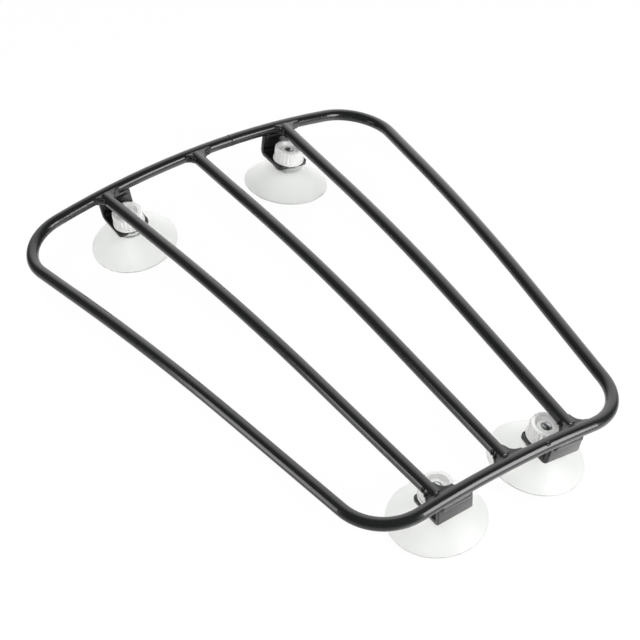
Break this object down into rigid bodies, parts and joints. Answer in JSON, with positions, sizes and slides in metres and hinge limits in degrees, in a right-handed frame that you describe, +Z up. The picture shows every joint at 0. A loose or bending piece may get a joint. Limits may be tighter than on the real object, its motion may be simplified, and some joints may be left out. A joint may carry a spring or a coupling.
{
  "type": "fender luggage rack",
  "caption": "Rigid welded steel-rod luggage rack, crowned and bent to fit over a rear fender, on clear suction cups held in slotted brackets by thumb nuts.",
  "frame": {"origin": "middle of the rack in plan, on the plane that three of the four suction cups stand on", "axes": "+X along the rack from its wide end to its narrow end, +Y to the left, +Z up"},
  "size_m": [0.3728, 0.2782, 0.0553],
  "materials": {
    "black_paint": "gloss black powder coat",
    "clear_soft_pvc": "clear, glossy, soft",
    "clear_plastic": "clear, glossy, hard",
    "zinc_steel": "bright zinc plate"
  },
  "bodies": {
    "frame": {"outer_loop_rod": "black_paint", "inner_rod_left": "black_paint", "inner_rod_centre": "black_paint", "inner_rod_right": "black_paint", "rod_weld_beads": "black_paint", "bracket_weld_beads": "black_paint", "bracket_wide_left": "black_paint", "bracket_wide_right": "black_paint", "bracket_narrow_left": "black_paint", "bracket_narrow_right": "black_paint"},
    "cup_wide_left": {"suction_cup_wide_left": "clear_soft_pvc", "stud_wide_left": "zinc_steel"},
    "insert_wide_left": {"nut_insert_wide_left": "zinc_steel"},
    "nut_wide_left": {"nut_knob_wide_left": "clear_plastic"},
    "cup_wide_right": {"suction_cup_wide_right": "clear_soft_pvc", "stud_wide_right": "zinc_steel"},
    "insert_wide_right": {"nut_insert_wide_right": "zinc_steel"},
    "nut_wide_right": {"nut_knob_wide_right": "clear_plastic"},
    "cup_narrow_left": {"suction_cup_narrow_left": "clear_soft_pvc", "stud_narrow_left": "zinc_steel"},
    "insert_narrow_left": {"nut_insert_narrow_left": "zinc_steel"},
    "nut_narrow_left": {"nut_knob_narrow_left": "clear_plastic"},
    "cup_narrow_right": {"suction_cup_narrow_right": "clear_soft_pvc", "stud_narrow_right": "zinc_steel"},
    "insert_narrow_right": {"nut_insert_narrow_right": "zinc_steel"},
    "nut_narrow_right": {"nut_knob_narrow_right": "clear_plastic"}
  },
  "joints": [
    {"name": "cup_slide_wide_left", "type": "slide", "parent": "frame", "child": "cup_wide_left", "axis": [1, 0, -0.0046], "range_m": [-0.0005, 0.0065]},
    {"name": "nut_travel_wide_left", "type": "slide", "parent": "cup_wide_left", "child": "insert_wide_left", "axis": [0.0046, 0.1532, 0.9882], "range_m": [0, 0.002]},
    {"name": "nut_turn_wide_left", "type": "hinge", "parent": "insert_wide_left", "child": "nut_wide_left", "pos_m": [-0.15596, 0.06475, 0.02352], "axis": [0.0046, 0.1532, 0.9882], "range_deg": [0, 719]},
    {"name": "cup_slide_wide_right", "type": "slide", "parent": "frame", "child": "cup_wide_right", "axis": [0.9992, 0.0048, -0.0388], "range_m": [-0.0005, 0.0065]},
    {"name": "nut_travel_wide_right", "type": "slide", "parent": "cup_wide_right", "child": "insert_wide_right", "axis": [0.0391, -0.1391, 0.9895], "range_m": [0, 0.002]},
    {"name": "nut_turn_wide_right", "type": "hinge", "parent": "insert_wide_right", "child": "nut_wide_right", "pos_m": [-0.15668, -0.06014, 0.02329], "axis": [0.0391, -0.1391, 0.9895], "range_deg": [0, 719]},
    {"name": "cup_slide_narrow_left", "type": "slide", "parent": "frame", "child": "cup_narrow_left", "axis": [-0.9922, 0.0164, 0.1233], "range_m": [-0.0005, 0.0065]},
    {"name": "nut_travel_narrow_left", "type": "slide", "parent": "cup_narrow_left", "child": "insert_narrow_left", "axis": [0.1244, 0.1355, 0.9829], "range_m": [0, 0.002]},
    {"name": "nut_turn_narrow_left", "type": "hinge", "parent": "insert_narrow_left", "child": "nut_narrow_left", "pos_m": [0.1562, 0.03993, 0.02431], "axis": [0.1244, 0.1355, 0.9829], "range_deg": [0, 719]},
    {"name": "cup_slide_narrow_right", "type": "slide", "parent": "frame", "child": "cup_narrow_right", "axis": [-0.9998, -0.0008, 0.022], "range_m": [-0.0005, 0.0065]},
    {"name": "nut_travel_narrow_right", "type": "slide", "parent": "cup_narrow_right", "child": "insert_narrow_right", "axis": [0.0221, -0.0449, 0.9987], "range_m": [0, 0.002]},
    {"name": "nut_turn_narrow_right", "type": "hinge", "parent": "insert_narrow_right", "child": "nut_narrow_right", "pos_m": [0.15782, -0.03645, 0.02266], "axis": [0.0221, -0.0449, 0.9987], "range_deg": [0, 719]}
  ],
  "couplings": [
    {"joint": "nut_travel_wide_left", "follows": "nut_turn_wide_left", "m_per_rad": 0.00015915},
    {"joint": "nut_travel_wide_right", "follows": "nut_turn_wide_right", "m_per_rad": 0.00015915},
    {"joint": "nut_travel_narrow_left", "follows": "nut_turn_narrow_left", "m_per_rad": 0.00015915},
    {"joint": "nut_travel_narrow_right", "follows": "nut_turn_narrow_right", "m_per_rad": 0.00015915}
  ]
}
